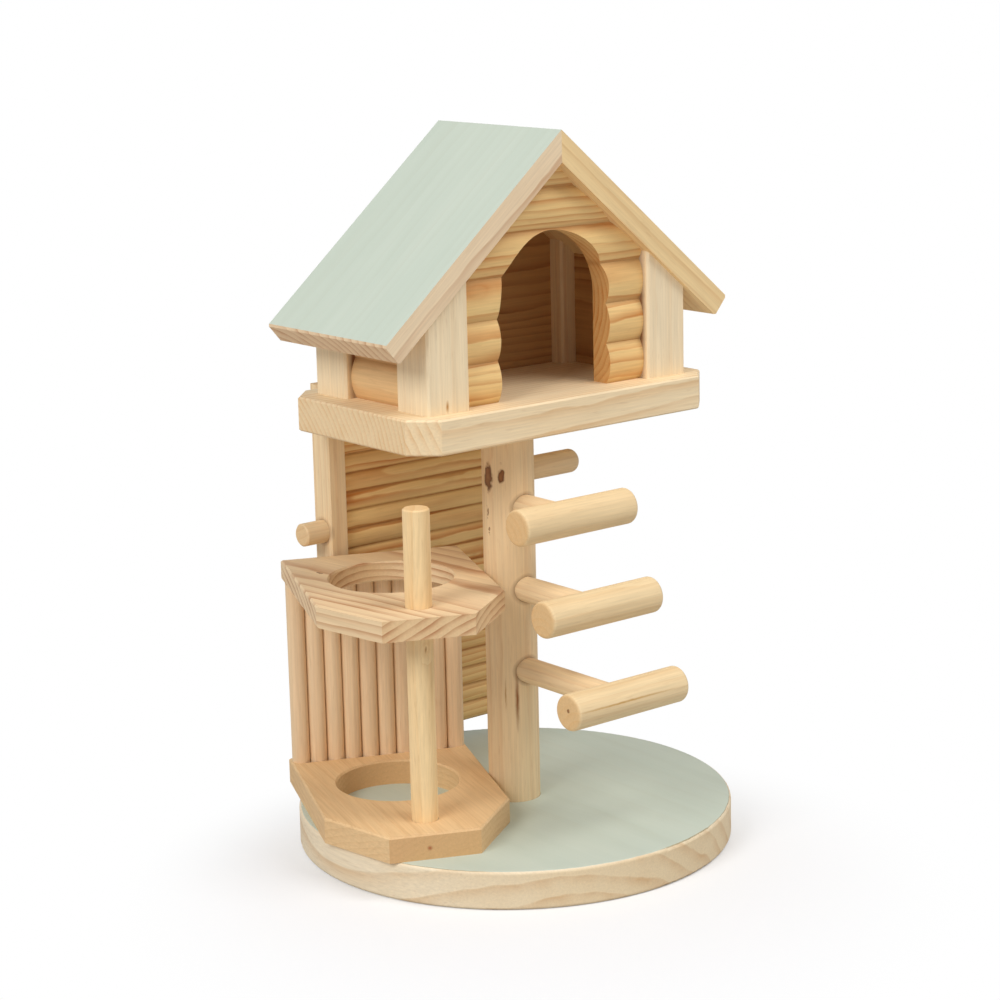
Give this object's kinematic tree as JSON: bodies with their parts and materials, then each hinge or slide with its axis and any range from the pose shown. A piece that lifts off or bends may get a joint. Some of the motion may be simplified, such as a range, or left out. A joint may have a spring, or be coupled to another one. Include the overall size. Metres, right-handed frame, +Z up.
{
  "type": "small animal play house",
  "caption": "Wooden play house for small pets: round base, post, deck with a gabled log cabin and arched doorway, ring seat with palisade, pegged rungs and a hanging log wall.",
  "frame": {"origin": "centre of the round base's underside, on the axis of the main post", "axes": "+Z up along the main post, +X to the right along the cabin's front, +Y to the back"},
  "size_m": [0.1713, 0.155, 0.2507],
  "materials": {
    "natural_pine": "bare sanded pine",
    "natural_beech": "bare sanded beech",
    "sage_painted_pine": "pine with matt sage green paint on its upper face, bare edges"
  },
  "bodies": {
    "root": {"base_plate": "sage_painted_pine", "main_post": "natural_pine", "lower_ring": "natural_beech", "upper_ring": "natural_beech", "palisade_stick_01": "natural_beech", "palisade_stick_02": "natural_beech", "palisade_stick_03": "natural_beech", "palisade_stick_04": "natural_beech", "palisade_stick_05": "natural_beech", "palisade_stick_06": "natural_beech", "palisade_stick_07": "natural_beech", "palisade_stick_08": "natural_beech", "palisade_stick_09": "natural_beech", "palisade_stick_10": "natural_beech", "front_dowel": "natural_pine", "perch_peg": "natural_beech", "stub_peg": "natural_beech", "deck_board": "natural_pine", "rung_1": "natural_pine", "rung_2": "natural_pine", "rung_3": "natural_pine", "rung_peg_1": "natural_beech", "rung_peg_2": "natural_beech", "rung_peg_3": "natural_beech", "left_back_stile": "natural_pine", "right_back_stile": "natural_pine", "back_log_panel": "natural_pine", "front_left_corner_post": "natural_pine", "front_right_corner_post": "natural_pine", "back_left_corner_post": "natural_pine", "back_right_corner_post": "natural_pine", "cabin_front_wall": "natural_pine", "cabin_back_wall": "natural_pine", "cabin_left_wall": "natural_pine", "cabin_right_wall": "natural_pine", "left_roof_board": "sage_painted_pine", "right_roof_board": "sage_painted_pine"}
  },
  "joints": []
}
